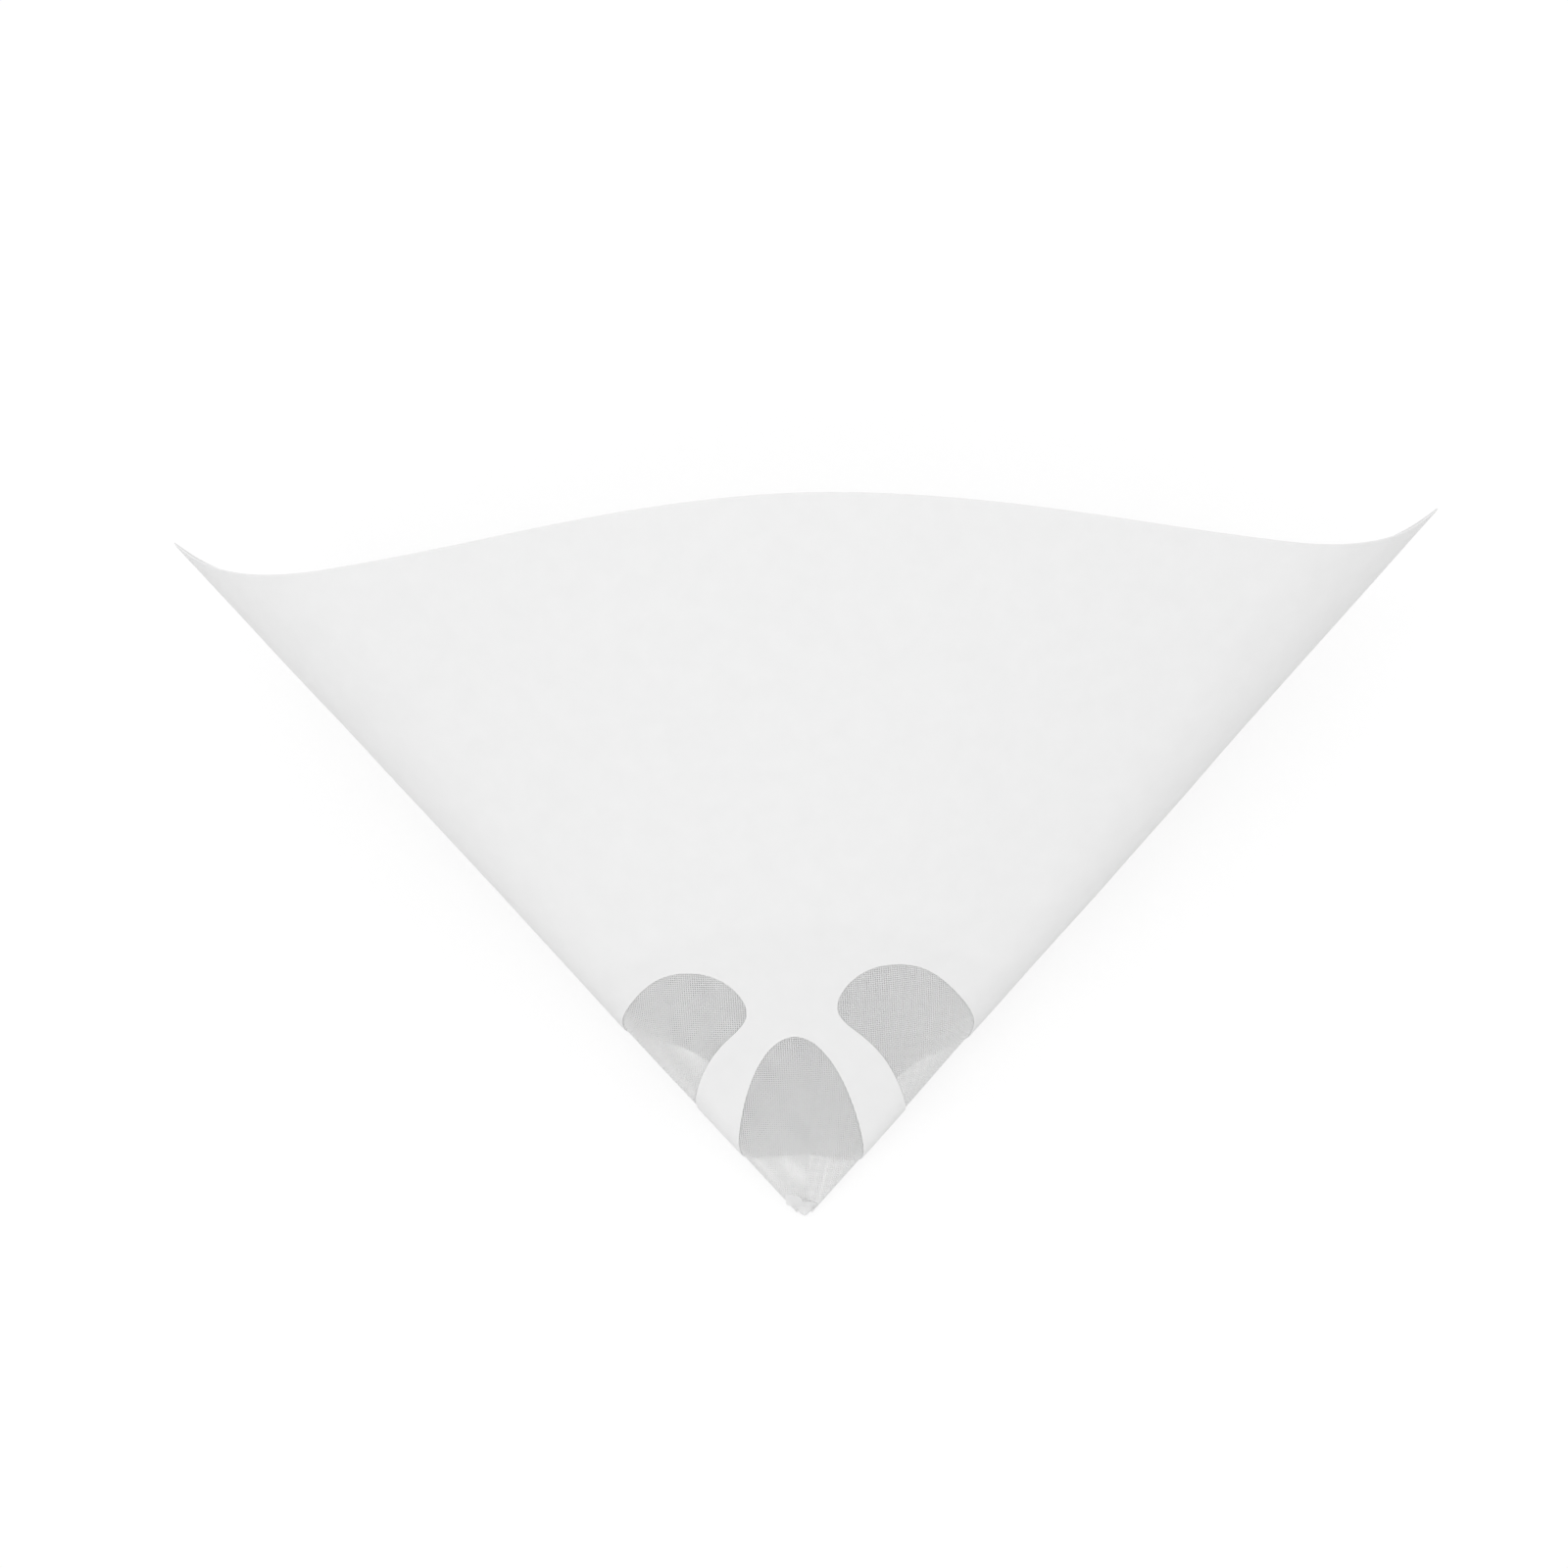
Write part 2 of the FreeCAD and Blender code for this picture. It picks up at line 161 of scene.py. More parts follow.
def opening_reach(blank):
    """The edge of the hole about the apex, an ellipse in the flat drawing."""
    angle = np.radians(blank)
    return 1 / np.hypot(np.sin(angle) / OPENING_ACROSS, np.cos(angle) / OPENING_ALONG)


def flat(angle, reach):
    """Flat points, across and along, for an angle and a reach."""
    return np.stack([reach * np.sin(np.radians(angle)), reach * np.cos(np.radians(angle))], axis=-1)


def polar(points):
    """Angles and reaches of flat points."""
    return np.degrees(np.arctan2(points[:, 0], points[:, 1])), np.hypot(points[:, 0], points[:, 1])


def window_outline(count):
    """The right window as flat points: a periodic cubic through its points, spaced by their distances."""
    points = np.array(WINDOW_POINTS)
    closed = np.vstack([points, points[:1]])
    spans = np.linalg.norm(np.diff(closed, axis=0), axis=1)
    knots = np.concatenate([[0], np.cumsum(spans)])
    size = len(points)
    matrix, right = np.zeros((size, size)), np.zeros((size, 2))
    for k in range(size):
        before, after = spans[k - 1], spans[k]
        matrix[k, k - 1] += 1 / before
        matrix[k, k] += 2 / before + 2 / after
        matrix[k, (k + 1) % size] += 1 / after
        right[k] = 3 * ((points[k] - points[k - 1]) / before ** 2
                        + (points[(k + 1) % size] - points[k]) / after ** 2)
    slopes = np.linalg.solve(matrix, right)
    place = np.linspace(0, knots[-1], count, endpoint=False)
    span = np.clip(np.searchsorted(knots, place, side="right") - 1, 0, size - 1)
    width = spans[span][:, None]
    share = ((place - knots[span]) / spans[span])[:, None]
    start, end = points[span], points[(span + 1) % size]
    leaving, arriving = width * slopes[span], width * slopes[(span + 1) % size]
    rest = 1 - share
    return (rest ** 2 * (1 + 2 * share) * start + rest ** 2 * share * leaving
            + share ** 2 * (3 - 2 * share) * end - share ** 2 * rest * arriving)


# ---------------------------------------------------------------- where the form lies

POINT_FOOT = np.array([0.0, 1.237, -0.993])  # lower edge of the CAD's welded point, funnel frame
RIM_SAMPLES = 2001


def lying_angle():
    """The turn that puts the welded point and the lap's end at the rim on the bench together."""
    seam = np.array([SEAM])
    lap_end = rolled(seam, rim_reach(seam) - LAP_SETBACK, np.array([PAPER]))[0][0]
    feet = lap_end - POINT_FOOT
    return math.degrees(math.atan2(-feet[2], feet[1]))


LYING_ANGLE = lying_angle()


def laid_down(points):
    """Funnel frame to the row's frame, both about the apex, in metres."""
    return turned(points, np.array([1.0, 0.0, 0.0]), np.array(LYING_ANGLE)) * MM


def apex_place():
    """The apex in the row's frame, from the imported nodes' boxes."""
    low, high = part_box("paper_cone")
    around = np.linspace(-SEAM, SEAM, RIM_SAMPLES)
    rim = laid_down(rolled(around, rim_reach(around), np.zeros_like(around))[0])
    return np.array([
        (low[0] + high[0]) / 2 - (rim[:, 0].min() + rim[:, 0].max()) / 2,
        high[1] - rim[:, 1].max(),
        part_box("filter_mesh")[0][2] - laid_down(POINT_FOOT)[2],
    ])


APEX = apex_place()


def placed(points):
    """Funnel frame to where the part lies, in metres."""
    return laid_down(points) + APEX


# ---------------------------------------------------------------- the sheet of paper

CREASE_HEIGHT, CREASE_WIDTH = 0.16, 1.5  # the pressed fold stands a little proud of the smooth bend
CREASES = (FOLD_SKEW - PLY_HALF, FOLD_SKEW + PLY_HALF)
LAP_RAMP = 1.8  # over which the outer end climbs on to the inner one
WAVE = 0.22  # height of the sheet's slow waves
LONG_WAVES, SHORT_WAVES = (34, 46), (15, 21)  # their sizes, across and along
LONG_SEED, SHORT_SEED = 0.3, 7.1
SHORT_SHARE = 0.4  # height of the short waves as a share of the long ones
WAVE_FADE = 40  # degrees from the seam over which they grow to their full height
SEAM_START, SEAM_TURNS = 100.0, 60  # where the search for an end of the lap starts, and its rounds
SEAM_ROWS = 70
RIM_STEP, RIM_POINTS = 1.6, 1400  # spacing of an outline's points, and the finer points it is made from
OPENING_STEP, OPENING_POINTS = 0.6, 900
WINDOW_STEPS = 190  # points of a window's outline
FAN_HALF, FAN_STEP = 123.0, 0.9  # the fan of lines from the apex reaches past both ends of the sheet
FAN_START, FAN_END, FAN_ROWS = 14, 176, 60  # along each of its lines
FAN_FINE = 14.5  # degrees from a crease within which each line is two
CREASE_START, CREASE_ROWS = 13, 70
CREASE_OFFSETS = (0.25, 0.6, 1.2, 2.1, 3.3)  # of the rows beside a crease
CREASE_CLEAR = 4.2  # kept free of the fan's points
LOOP_CLEAR = 0.55  # kept free of inner points beside an outline
SAME_POINT = 1e-5
NEAR_BLOCK = 2000  # points tested at a time, to save memory


def past_seam(angle, reach):
    """How far a point of the drawing lies past the seam line at its right-hand end."""
    return reach * np.sin(np.radians(np.clip(angle - SEAM, -90, 90)))


def smooth_step(share):
    """0 to 1 with level ends, and steady beyond them."""
    share = np.clip(share, 0, 1)
    return share * share * (3 - 2 * share)


def waves(points, sizes, seed):
    across, along = sizes
    return np.array([noise.noise(Vector((x / across, y / along, seed))) for x, y in points])


def unevenness(angle, reach):
    """Slow waves of the sheet, freest at the front and none along the line it rests on."""
    points = flat(angle, reach)
    height = waves(points, LONG_WAVES, LONG_SEED) + SHORT_SHARE * waves(points, SHORT_WAVES, SHORT_SEED)
    free = smooth_step((SEAM - np.abs(fold_angle(angle))) / WAVE_FADE)
    return WAVE * free * height


def pressed_folds(angle, reach):
    """How far the sheet is pushed out beside its two creases."""
    from_crease = reach * np.radians(np.abs(np.abs(fold_angle(angle)) - PLY_HALF))
    return CREASE_HEIGHT * np.exp(-from_crease / CREASE_WIDTH)


def sheet_height(angle, reach):
    """How far the sheet's outside stands off the ideal form, in millimetres."""
    height = pressed_folds(angle, reach) + unevenness(angle, reach)
    height += (PAPER + LAP_GAP) * smooth_step((past_seam(angle, reach) + LAP / 2 + LAP_RAMP) / LAP_RAMP)
    return height


def seam_edge(side):
    """The sheet's glued end, parallel to the seam line and half a lap past it: flat points, tip to rim."""
    def end_angle(reach):
        return SEAM + math.degrees(math.asin(LAP / 2 / reach))

    def meet(cut):
        reach = SEAM_START
        for _ in range(SEAM_TURNS):
            reach = float(cut(np.array(side * end_angle(reach))))
        return reach

    first, last = meet(opening_reach), meet(rim_reach)
    reaches = np.linspace(first, last, SEAM_ROWS)
    return flat(side * np.array([end_angle(reach) for reach in reaches]), reaches)


def resampled(points, spacing):
    """A line's points set out anew, about spacing apart."""
    lengths = np.concatenate([[0], np.cumsum(np.linalg.norm(np.diff(points, axis=0), axis=1))])
    places = np.linspace(0, lengths[-1], max(2, round(lengths[-1] / spacing)) + 1)
    return np.stack([np.interp(places, lengths, points[:, k]) for k in (0, 1)], axis=-1)


def blank_outlines():
    """The outer outline of the flat sheet and its two windows, as closed loops of flat points."""
    left, right = seam_edge(-1), seam_edge(1)

    def edge(cut, end, count, spacing):
        last = polar(end[None])[0][0]
        around = np.linspace(-last, last, count)
        return resampled(flat(around, cut(around)), spacing)

    rim = edge(rim_reach, right[-1], RIM_POINTS, RIM_STEP)
    opening = edge(opening_reach, right[0], OPENING_POINTS, OPENING_STEP)
    outer = np.vstack([left[:-1], rim[:-1], right[::-1][:-1], opening[::-1][:-1]])
    window = window_outline(WINDOW_STEPS)
    return outer, window, window * (-1, 1)


def inside(points, loop):
    """Which flat points lie inside a closed loop."""
    found = np.zeros(len(points), bool)
    ends = np.roll(loop, -1, axis=0)
    for (x0, y0), (x1, y1) in zip(loop, ends):
        crosses = (y0 > points[:, 1]) != (y1 > points[:, 1])
        if crosses.any():
            at = x0 + (points[crosses, 1] - y0) * (x1 - x0) / (y1 - y0)
            found[crosses] ^= points[crosses, 0] < at
    return found


def near_loops(points, loops, distance):
    """Which flat points lie near a loop's vertices."""
    corners = np.vstack(loops)
    found = np.zeros(len(points), bool)
    for start in range(0, len(points), NEAR_BLOCK):
        block = points[start:start + NEAR_BLOCK]
        nearest = np.linalg.norm(block[:, None] - corners[None], axis=2).min(axis=1)
        found[start:start + NEAR_BLOCK] = nearest < distance
    return found


def fan_points():
    """Points along lines from the apex, closer together near a crease and none right beside it."""
    fan = []
    for angle in np.arange(-FAN_HALF, FAN_HALF, FAN_STEP):
        from_crease = abs(abs(fold_angle(np.array(angle))) - PLY_HALF)
        if from_crease < FAN_FINE:
            lines = (angle - FAN_STEP / 4, angle + FAN_STEP / 4)
        else:
            lines = (angle,)
        for line in lines:
            fan.append(flat(np.full(FAN_ROWS, line), np.linspace(FAN_START, FAN_END, FAN_ROWS)))
    fan = np.vstack(fan)
    angle, reach = polar(fan)
    off = np.min([reach * np.radians(np.abs(angle - crease)) for crease in CREASES], axis=0)
    return fan[off > CREASE_CLEAR]


def crease_points():
    """Points along each crease and in rows beside it."""
    rows = []
    for crease in CREASES:
        along = flat(np.full(CREASE_ROWS, crease), np.linspace(CREASE_START, FAN_END, CREASE_ROWS))
        across = np.array([math.cos(math.radians(crease)), -math.sin(math.radians(crease))])
        rows.append(along)
        for offset in CREASE_OFFSETS:
            rows += [along - across * offset, along + across * offset]
    return np.vstack(rows)


def on_sheet(points, loops):
    """Which flat points lie inside the outer loop and outside the windows."""
    found = inside(points, loops[0])
    for hole in loops[1:]:
        found &= ~inside(points, hole)
    return found


def flat_triangles(loops):
    """Vertices and triangles of the sheet, cut along its outlines and finer along the creases."""
    inner = np.vstack([fan_points(), crease_points()])
    inner = inner[on_sheet(inner, loops)]
    inner = inner[~near_loops(inner, loops, LOOP_CLEAR)]
    verts = np.vstack([*loops, inner])
    edges, first = [], 0
    for loop in loops:
        edges += [(first + k, first + (k + 1) % len(loop)) for k in range(len(loop))]
        first += len(loop)
    made = geometry.delaunay_2d_cdt([Vector(point) for point in verts], edges, [], 0, SAME_POINT)
    verts = np.array([tuple(v) for v in made[0]])
    triangles = np.array([face for face in made[2] if len(face) == 3])
    triangles = triangles[on_sheet(verts[triangles].mean(axis=1), loops)]
    used, numbered = np.unique(triangles, return_inverse=True)
    return verts[used], numbered.reshape(-1, 3)


def mesh_piece(name, verts, faces, material, smooth=True):
    """A new object of an array of vertices and a list of faces."""
    mesh = bpy.data.meshes.new(name)
    mesh.from_pydata(verts.tolist(), [], faces)
    mesh.update()
    if smooth:
        mesh.polygons.foreach_set("use_smooth", [True] * len(mesh.polygons))
    mesh.materials.append(material)
    piece = bpy.data.objects.new(name, mesh)
    bpy.context.scene.collection.objects.link(piece)
    return piece


def boundary_edges(triangles):
    """Directed edges that only one triangle has."""
    edges = np.vstack([triangles[:, [0, 1]], triangles[:, [1, 2]], triangles[:, [2, 0]]])
    size = int(triangles.max()) + 1
    own, back = edges[:, 0] * size + edges[:, 1], edges[:, 1] * size + edges[:, 0]
    return edges[~np.isin(own, back)]


def mark_sharp(piece, edges):
    """Edges given as pairs of vertices, the lower number first."""
    for edge in piece.data.edges:
        if tuple(sorted(edge.vertices)) in edges:
            edge.use_edge_sharp = True


def paper_sheet(material):
    """The sheet as one closed form: its outside, its inside and the cut edge between them."""
    verts, triangles = flat_triangles(blank_outlines())
    # seen from outside, the flat drawing is face up: counter-clockwise
    first, second, third = (verts[triangles[:, k]] for k in range(3))
    clockwise = np.cross(second - first, third - first) < 0
    triangles[clockwise] = triangles[clockwise][:, ::-1]
    angle, reach = polar(verts)
    outside = sheet_height(angle, reach)
    top = placed(rolled(angle, reach, outside)[0])
    bottom = placed(rolled(angle, reach, outside - PAPER)[0])
    below = len(verts)
    edges = boundary_edges(triangles).tolist()
    faces = [tuple(face) for face in triangles.tolist()]
    faces += [tuple(face[::-1]) for face in (triangles + below).tolist()]
    faces += [(b, a, a + below, b + below) for a, b in edges]
    piece = mesh_piece("paper_sheet", np.vstack([top, bottom]), faces, material)
    rims = {tuple(sorted(edge)) for edge in edges}
    mark_sharp(piece, rims | {(a + below, b + below) for a, b in rims})
    return piece


# ---------------------------------------------------------------- the woven net

PITCH = 0.4  # from thread to thread
THREAD_WIDE, THREAD_THICK = 0.12, 0.07  # pressed flat
NET_MIDDLE = -0.33  # height of the net's middle plane
NET_FIRST = 2.2  # reach at which the threads go into the melted point
NET_LAP = 0.4  # the net's own overlap, on the back
NET_LAP_RAMP = 0.4  # over which one end climbs past the other
SHORTEST_THREAD = 0.3
# crossings lie half a pitch past each whole one, and none is within a fifth of a pitch of a cut end
FIRST_CROSSING, LAST_CROSSING = 0.3, 0.7


def on_net(x, y):
    """Whether a flat point is on the net, which goes once round and overlaps itself a little."""
    reach = math.hypot(x, y)
    past = math.degrees(math.atan2(abs(x), y)) - SEAM
    return NET_FIRST < reach < NET_TOP and reach * math.sin(math.radians(past)) < NET_LAP / 2


def thread_marks(fixed, along_y):
    """Places along a straight line of the flat drawing where it may pass on or off the net."""
    marks = []
    for radius in (NET_TOP, NET_FIRST):
        if abs(fixed) < radius:
            half = math.sqrt(radius ** 2 - fixed ** 2)
            marks += [-half, half]
    turn = math.radians(SEAM)
    for side in (-1, 1):
        # a cut end runs beside the seam line, half an overlap past it
        ahead = (side * math.sin(turn), math.cos(turn))
        start = (side * math.cos(turn) * NET_LAP / 2, -math.sin(turn) * NET_LAP / 2)
        own, other = (0, 1) if along_y else (1, 0)
        share = (fixed - start[own]) / ahead[own]
        if share > 0:
            marks.append(start[other] + share * ahead[other])
    return sorted(mark for mark in marks if abs(mark) <= NET_TOP)


def thread_runs(along_y, phase):
    """Every other thread of one direction: its fixed place, places along it and its weave there."""
    runs = []
    half = math.ceil(NET_TOP / PITCH)
    for row in range(-half + phase, half, 2):
        fixed = (row + 0.5) * PITCH
        marks = thread_marks(fixed, along_y)
        for low, high in zip(marks, marks[1:]):
            middle = (low + high) / 2
            x, y = (fixed, middle) if along_y else (middle, fixed)
            if high - low < SHORTEST_THREAD or not on_net(x, y):
                continue
            crossings = range(math.ceil(low / PITCH - FIRST_CROSSING),
                              math.floor(high / PITCH - LAST_CROSSING) + 1)
            places = [low, *((k + 0.5) * PITCH for k in crossings), high]
            weave = [0, *((-1) ** (row + k) for k in crossings), 0]
            runs.append((fixed, np.array(places), np.array(weave, float)))
    return runs


def net_height(angle, reach):
    """The net follows the sheet, and its right-hand end lies inside the left-hand one."""
    step = smooth_step((past_seam(angle, reach) + NET_LAP / 2 + NET_LAP_RAMP) / NET_LAP_RAMP)
    return NET_MIDDLE + pressed_folds(angle, reach) + unevenness(angle, reach) - 2 * THREAD_THICK * step


def woven_threads(name, along_y, phase, material):
    """Every other thread of one direction, each a flat ribbon that goes over and under the others."""
    verts, faces, count = [], [], 0
    for fixed, places, weave in thread_runs(along_y, phase):
        steady = np.full_like(places, fixed)
        angle, reach = polar(np.stack([steady, places] if along_y else [places, steady], axis=-1))
        lift = weave * THREAD_THICK / 2 * (1 if along_y else -1)
        centre, normal = rolled(angle, reach, net_height(angle, reach) + lift)
        sideways = np.cross(np.gradient(centre, axis=0), normal)
        sideways /= np.linalg.norm(sideways, axis=1)[:, None]
        up, out = normal * THREAD_THICK / 2, sideways * THREAD_WIDE / 2
        ring = [centre + up - out, centre + up + out, centre - up + out, centre - up - out]
        verts.append(np.stack(ring, axis=1).reshape(-1, 3))
        steps = count + 4 * np.arange(len(places) - 1)[:, None]
        for k in range(4):
            n = (k + 1) % 4
            faces.append(np.hstack([steps + k, steps + n, steps + 4 + n, steps + 4 + k]))
        corners = np.arange(4)
        faces.append(np.array([count + corners[::-1], count + 4 * (len(places) - 1) + corners]))
        count += 4 * len(places)
    return mesh_piece(name, placed(np.vstack(verts)), np.vstack(faces).tolist(), material, smooth=False)


# ---------------------------------------------------------------- the net's melted point

# rings on the net's own form: reach, and how far they stand off the net
POINT_NECK = ((4.1, 0.0), (3.9, 0.1), (3.4, 0.12))
# then rings square across: distance along, half width and half height; the part rests on the tallest
POINT_RINGS = (
    (2.75, 1.7, 0.93), (2.2, 1.25, 0.99), (1.75, 0.85, 1.0), (1.4, 0.55, 0.99), (1.25, 0.3, 0.78),
)
POINT_AROUND = 96
POINT_END = 1.15
POINT_LUMPS, LUMP_SCALE = 0.05, 2  # unevenness of the cap, as a share of its width


def melted_point(material):
    """The end of the net, gathered and welded into a small blunt cap that the part rests on."""
    around = np.linspace(-SEAM, SEAM, POINT_AROUND, endpoint=False)
    turn = np.radians(around * 180 / SEAM)
    rings = []
    for reach, swell in POINT_NECK:
        height = np.full_like(around, NET_MIDDLE + THREAD_THICK + swell)
        rings.append(rolled(around, np.full_like(around, reach), height)[0])
    for along, half_across, half_up in POINT_RINGS:
        places = [Vector((math.cos(t) * LUMP_SCALE, math.sin(t) * LUMP_SCALE, along)) for t in turn]
        lumps = np.array([1 + POINT_LUMPS * noise.noise(place) for place in places])
        rings.append(np.stack([half_across * np.sin(turn) * lumps, np.full_like(turn, along),
                               half_up * np.cos(turn)], axis=-1))
    ends = [rings[0].mean(axis=0), np.array([0.0, POINT_END, 0.0])]
    verts = np.vstack([*rings, ends])
    first, last = len(verts) - 2, len(verts) - 1
    last_ring = first - POINT_AROUND
    faces = []
    for start in range(0, last_ring, POINT_AROUND):
        for k in range(POINT_AROUND):
            a, b = start + k, start + (k + 1) % POINT_AROUND
            faces.append((a, b, b + POINT_AROUND, a + POINT_AROUND))
    for k in range(POINT_AROUND):
        n = (k + 1) % POINT_AROUND
        faces.append((first, n, k))
        faces.append((last, last_ring + k, last_ring + n))
    return mesh_piece("net_point", placed(verts), faces, material)


# ---------------------------------------------------------------- the folded flap

# right and along in the funnel's frame, seen square on to the plane of the creases
FLAP_OUTLINE = ((-3.4, 3.2), (-3.25, 5.2), (-0.65, 4.65), (0.4, 1.1), (-1.55, 2.65))
FLAP_SEAT = (-19.0, 3.9)  # angle and reach of the place on the net where it is welded
FLAP_LIFT, FLAP_THICK = 0.12, 0.14
FLAP_ROUND, FLAP_STEPS = 0.22, 7  # share of each side that rounds its corner, and points round it


def folded_flap(material):
    """A corner of the net that was folded over the point and welded down, flat."""
    angle, reach = (np.array([value]) for value in FLAP_SEAT)
    seat, normal = rolled(angle, reach, np.array([NET_MIDDLE + THREAD_THICK + FLAP_LIFT]))
    seat, normal = seat[0], normal[0]
    corners = np.array(FLAP_OUTLINE)
    outline = []
    for before, corner, after in zip(np.roll(corners, 1, axis=0), corners, np.roll(corners, -1, axis=0)):
        start, end = corner + (before - corner) * FLAP_ROUND, corner + (after - corner) * FLAP_ROUND
        for share in np.linspace(0, 1, FLAP_STEPS):
            outline.append(start * (1 - share) ** 2 + 2 * corner * share * (1 - share) + end * share ** 2)
    outline = np.array(outline)
    drop = ((outline - seat[:2]) @ normal[:2]) / normal[2]
    top = np.column_stack([outline, seat[2] - drop])
    count = len(outline)
    verts = np.vstack([top, top - normal * FLAP_THICK])
    # the outline runs clockwise as it is seen from the front
    faces = [tuple(range(count - 1, -1, -1)), tuple(range(count, 2 * count))]
    faces += [(k, (k + 1) % count, count + (k + 1) % count, count + k) for k in range(count)]
    return mesh_piece("net_flap", placed(verts), faces, material, smooth=False)


# ---------------------------------------------------------------- materials

def new_material(name):
    """A material with no nodes yet."""
    material = bpy.data.materials.new(name)
    material.use_nodes = True
    nodes = material.node_tree.nodes
    nodes.clear()
    return material, nodes, material.node_tree.links


def added(nodes, kind, values):
    """A new node with its inputs set by name."""
    node = nodes.new(kind)
    for socket, value in values.items():
        node.inputs[socket].default_value = value
    return node


def grey(level):
    return level, level, level, 1


def cloudy_tone(nodes, links, cloud, dark, light):
    """A grey between dark and light that follows a noise."""
    tone = nodes.new("ShaderNodeValToRGB")
    ends = tone.color_ramp.elements
    ends[0].position, ends[1].position = 0.3, 0.7
    ends[0].color, ends[1].color = grey(dark), grey(light)
    links.new(cloud.outputs["Fac"], tone.inputs["Fac"])
    return tone.outputs["Color"]


def cloudy_roughness(nodes, links, cloud, smooth, rough):
    """A roughness between smooth and rough that follows a noise."""
    gloss = added(nodes, "ShaderNodeMapRange", {"To Min": smooth, "To Max": rough})
    links.new(cloud.outputs["Fac"], gloss.inputs["Value"])
    return gloss.outputs["Result"]


def paper_material():
    """Bleached paper: even, a little cloudy, with a fine felted surface."""
    material, nodes, links = new_material("white_paper")
    output = nodes.new("ShaderNodeOutputMaterial")
    # the subsurface light is what the sheet lets through
    shader = added(nodes, "ShaderNodeBsdfPrincipled", {
        "Specular IOR Level": 0.35, "Subsurface Weight": 1.0, "Subsurface Radius": (1, 1, 1),
        "Subsurface Scale": 0.16 * MM})
    links.new(shader.outputs[0], output.inputs[0])
    place = nodes.new("ShaderNodeNewGeometry")

    cloud = added(nodes, "ShaderNodeTexNoise", {"Scale": 260, "Detail": 5, "Roughness": 0.6})
    links.new(place.outputs["Position"], cloud.inputs["Vector"])
    links.new(cloudy_tone(nodes, links, cloud, 0.872, 0.888), shader.inputs["Base Color"])
    links.new(cloudy_roughness(nodes, links, cloud, 0.55, 0.72), shader.inputs["Roughness"])

    fibre = added(nodes, "ShaderNodeTexNoise", {"Scale": 2600, "Detail": 4, "Distortion": 1.2})
    links.new(place.outputs["Position"], fibre.inputs["Vector"])
    bump = added(nodes, "ShaderNodeBump", {"Strength": 0.18, "Distance": 0.06 * MM})
    links.new(fibre.outputs["Fac"], bump.inputs["Height"])
    links.new(bump.outputs["Normal"], shader.inputs["Normal"])
    return material


def net_material():
    """Nylon thread: milky, a little shiny, lets some light through."""
    material, nodes, links = new_material("nylon_net")
    output = nodes.new("ShaderNodeOutputMaterial")
    shader = added(nodes, "ShaderNodeBsdfPrincipled", {"Specular IOR Level": 0.4})
    place = nodes.new("ShaderNodeNewGeometry")
    streak = added(nodes, "ShaderNodeTexNoise", {"Scale": 900})
    links.new(place.outputs["Position"], streak.inputs["Vector"])
    tone = cloudy_tone(nodes, links, streak, 0.965, 0.98)
    links.new(tone, shader.inputs["Base Color"])
    links.new(cloudy_roughness(nodes, links, streak, 0.3, 0.45), shader.inputs["Roughness"])
    through = nodes.new("ShaderNodeBsdfTranslucent")
    links.new(tone, through.inputs["Color"])
    both = added(nodes, "ShaderNodeMixShader", {"Fac": 0.4})
    links.new(shader.outputs[0], both.inputs[1])
    links.new(through.outputs[0], both.inputs[2])
    links.new(both.outputs[0], output.inputs[0])
    return material


# ---------------------------------------------------------------- floor, light and camera

WORLD_LEVEL = 0.85
KEY_STRENGTH, KEY_SPREAD = 0.42, 50
KEY_TOWARD = (0.2, 0.3, -0.93)  # down, a little right and back
FLOOR_SPAN = 4.0  # metres from the middle to each edge
FLOOR_GREY = 0.8  # as it lights the object
# as it is seen, it is mostly its own light, so that it is white and keeps a soft shadow
FLOOR_SEEN, FLOOR_GLOW = 0.28, 0.75


def seen_straight(nodes, links):
    """1 for rays from the camera, or off gloss and through glass, and 0 for the light itself."""
    path = nodes.new("ShaderNodeLightPath")
    seen = path.outputs["Is Camera Ray"]
    for ray in ("Is Glossy Ray", "Is Transmission Ray"):
        either = nodes.new("ShaderNodeMath")
        either.operation = "MAXIMUM"
        links.new(seen, either.inputs[0])
        links.new(path.outputs[ray], either.inputs[1])
        seen = either.outputs[0]
    return seen


def floor(span):
    """A white floor under the part, which shows a soft shadow."""
    material, nodes, links = new_material("floor")
    output = nodes.new("ShaderNodeOutputMaterial")
    plain = added(nodes, "ShaderNodeBsdfDiffuse", {"Color": grey(FLOOR_GREY)})
    seen = added(nodes, "ShaderNodeBsdfDiffuse", {"Color": grey(FLOOR_SEEN)})
    glow = added(nodes, "ShaderNodeEmission", {"Color": grey(1), "Strength": FLOOR_GLOW})
    both = nodes.new("ShaderNodeAddShader")
    links.new(seen.outputs[0], both.inputs[0])
    links.new(glow.outputs[0], both.inputs[1])
    pick = nodes.new("ShaderNodeMixShader")
    links.new(seen_straight(nodes, links), pick.inputs[0])
    links.new(plain.outputs[0], pick.inputs[1])
    links.new(both.outputs[0], pick.inputs[2])
    links.new(pick.outputs[0], output.inputs[0])
    corners = np.array([(-span, -span, 0), (span, -span, 0), (span, span, 0), (-span, span, 0)])
    piece = mesh_piece("floor", corners, [(0, 1, 2, 3)], material, smooth=False)
    piece.location.z = cad_box[0][2]


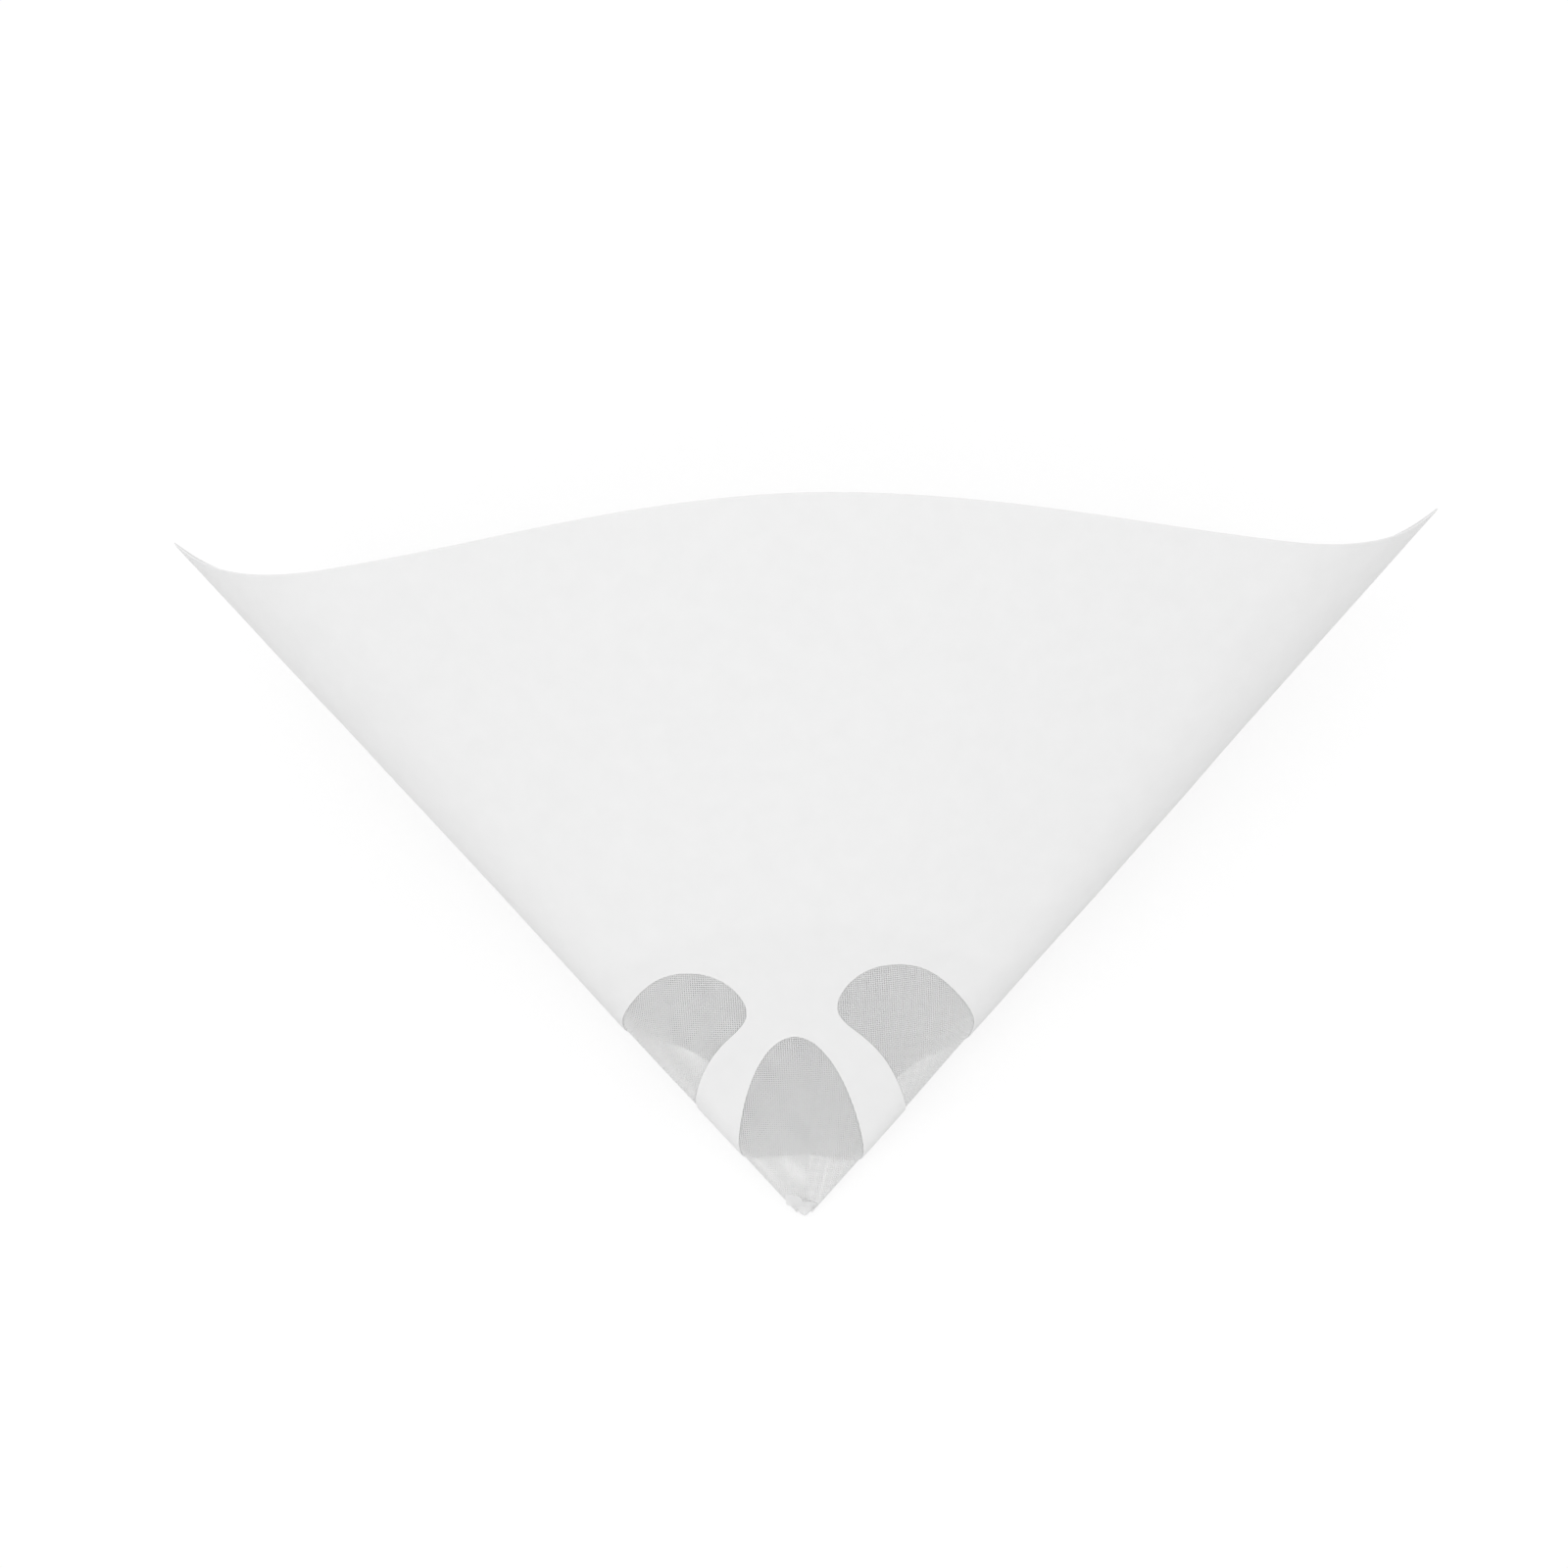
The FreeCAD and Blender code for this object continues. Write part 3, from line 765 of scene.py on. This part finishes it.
def world_light(level):
    """Even light from all round, of a level below the white that is seen."""
    world = bpy.data.worlds.new("studio")
    world.use_nodes = True
    bpy.context.scene.world = world
    nodes, links = world.node_tree.nodes, world.node_tree.links
    nodes.clear()
    output = nodes.new("ShaderNodeOutputWorld")
    dim = added(nodes, "ShaderNodeBackground", {"Color": grey(1), "Strength": level})
    white = added(nodes, "ShaderNodeBackground", {"Color": grey(1)})
    pick = nodes.new("ShaderNodeMixShader")
    links.new(seen_straight(nodes, links), pick.inputs[0])
    links.new(dim.outputs[0], pick.inputs[1])
    links.new(white.outputs[0], pick.inputs[2])
    links.new(pick.outputs[0], output.inputs[0])


def soft_sun(name, strength, spread, toward):
    """A wide soft light that shines along toward."""
    light = bpy.data.lights.new(name, "SUN")
    light.energy = strength
    light.angle = math.radians(spread)
    lamp = bpy.data.objects.new(name, light)
    lamp.rotation_mode = "QUATERNION"
    lamp.rotation_quaternion = Vector(toward).to_track_quat("-Z", "Y")
    bpy.context.scene.collection.objects.link(lamp)


# in millimetres and degrees, from the apex and the plane of the creases
CAMERA_AWAY = 1008.0
AIM_REACH, AIM_LEFT = 79.2, 2.84  # the point it looks at, along the plane and beside the middle
ROLL = 0.64
FRAME_WIDTH = 283.6  # what the frame takes in at that distance
SENSOR = 36


def camera():
    """Looks square on to the plane of the creases, from about a metre away."""
    along = laid_down(np.array([0.0, 1.0, 0.0])) / MM
    toward = laid_down(np.array([0.0, 0.0, 1.0])) / MM
    across = np.array([1.0, 0.0, 0.0])
    roll = math.radians(ROLL)
    up = along * math.cos(roll) + across * math.sin(roll)
    right = across * math.cos(roll) - along * math.sin(roll)
    spot = APEX + (along * AIM_REACH + toward * CAMERA_AWAY - right * AIM_LEFT) * MM
    data = bpy.data.cameras.new("camera")
    data.sensor_width = SENSOR
    data.lens = SENSOR * CAMERA_AWAY / FRAME_WIDTH
    data.clip_start = 0.05
    made = bpy.data.objects.new("camera", data)
    made.matrix_world = Matrix([*np.column_stack([right, up, toward, spot]).tolist(), [0, 0, 0, 1]])
    bpy.context.scene.collection.objects.link(made)
    bpy.context.scene.camera = made


# ---------------------------------------------------------------- the scene

bpy.context.scene.view_settings.view_transform = "Standard"
camera()
world_light(WORLD_LEVEL)
soft_sun("key", KEY_STRENGTH, KEY_SPREAD, KEY_TOWARD)
floor(FLOOR_SPAN)

paper = paper_material()
nylon = net_material()

sheet = paper_sheet(paper)
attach(sheet, "root")
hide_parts("paper_cone")

net_pieces = [melted_point(nylon), folded_flap(nylon)]
for name, along_y in (("net_warp", True), ("net_weft", False)):
    for phase in (0, 1):
        net_pieces.append(woven_threads("%s_%d" % (name, phase + 1), along_y, phase, nylon))
for piece in net_pieces:
    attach(piece, "root")
    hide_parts("filter_mesh")
